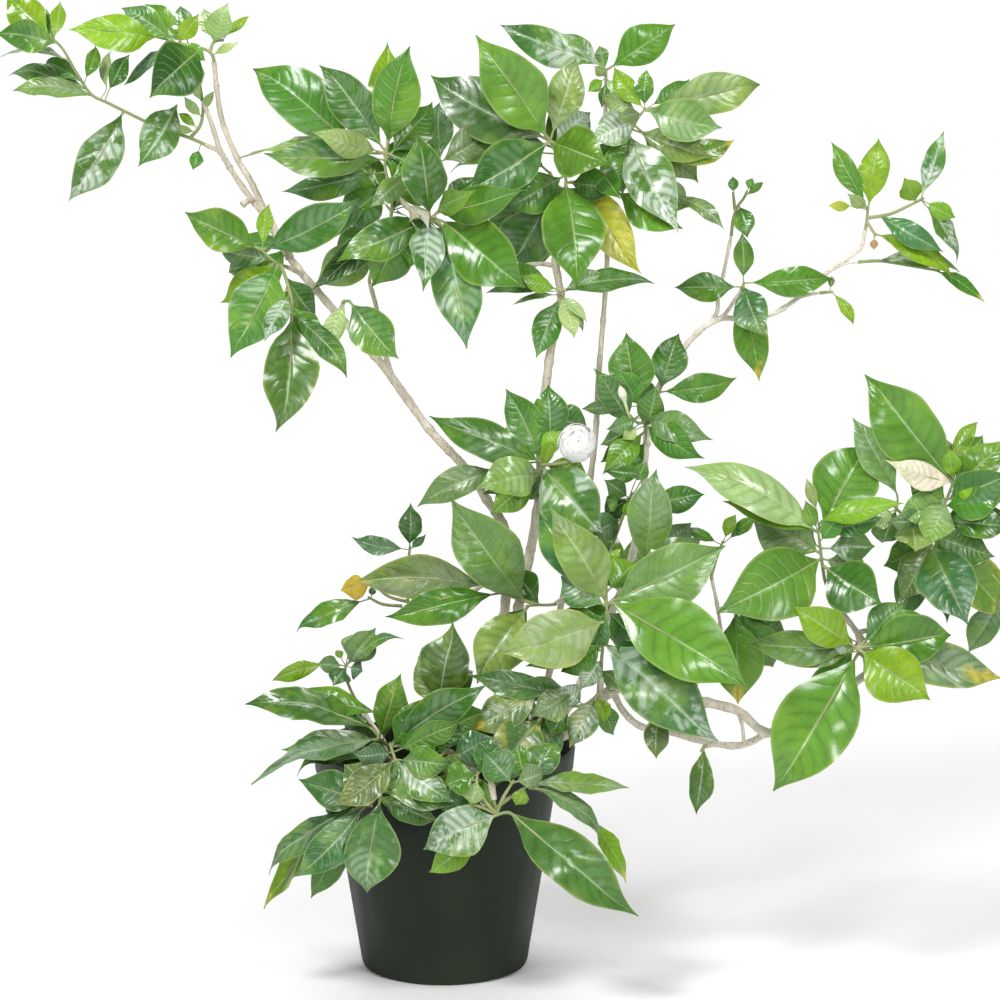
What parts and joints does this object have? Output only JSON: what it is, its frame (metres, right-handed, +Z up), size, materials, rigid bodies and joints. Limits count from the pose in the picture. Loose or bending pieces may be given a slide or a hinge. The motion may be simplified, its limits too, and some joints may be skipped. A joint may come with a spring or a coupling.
{
  "type": "potted shrub",
  "caption": "Young woody shrub with forking stems, glossy pointed leaves and a white double flower, standing in a round dark nursery pot.",
  "frame": {"origin": "the middle of the pot's base, on the surface that the pot stands on", "axes": "+Z up along the pot's axis, +X to the viewer's right, -Y towards the viewer of the picture's side"},
  "size_m": [0.8877, 0.2925, 0.865],
  "materials": {
    "pot_plastic": "satin",
    "potting_soil": "matte",
    "bark": "matte",
    "leaf": "satin",
    "petal": "satin",
    "bud": "satin"
  },
  "bodies": {
    "root": {"pot": "pot_plastic", "soil": "potting_soil", "stem_left": "bark", "stem_middle": "bark", "stem_thin": "bark", "stem_upper_right": "bark", "stem_right": "bark", "stem_low_left": "bark", "stem_low_front": "bark", "spray_top_left": "leaf", "spray_crown_left": "leaf", "spray_left_middle": "leaf", "rear_left": "leaf", "spray_left_inner": "leaf", "spray_top_mid_left": "leaf", "spray_top_mid": "leaf", "spray_middle_low": "leaf", "spray_top_tip": "leaf", "spray_top_right": "leaf", "spray_sprig": "leaf", "spray_sprig_top": "leaf", "spray_far_right": "leaf", "spray_far_right_low": "leaf", "spray_twig_end": "leaf", "spray_middle": "leaf", "rear_middle": "leaf", "spray_middle_right": "leaf", "spray_centre": "leaf", "rear_centre": "leaf", "spray_centre_left": "leaf", "spray_pot_top": "leaf", "spray_under": "leaf", "spray_hanging": "leaf", "spray_twig_tip": "leaf", "spray_behind_right": "leaf", "spray_right_left": "leaf", "spray_right_low": "leaf", "rear_right": "leaf", "spray_right_top": "leaf", "spray_left_low": "leaf", "spray_left_star": "leaf", "spray_skirt_left": "leaf", "spray_skirt_corner": "leaf", "spray_skirt_mid": "leaf", "spray_skirt_front": "leaf", "flower": "petal", "bud": "bud"}
  },
  "joints": []
}
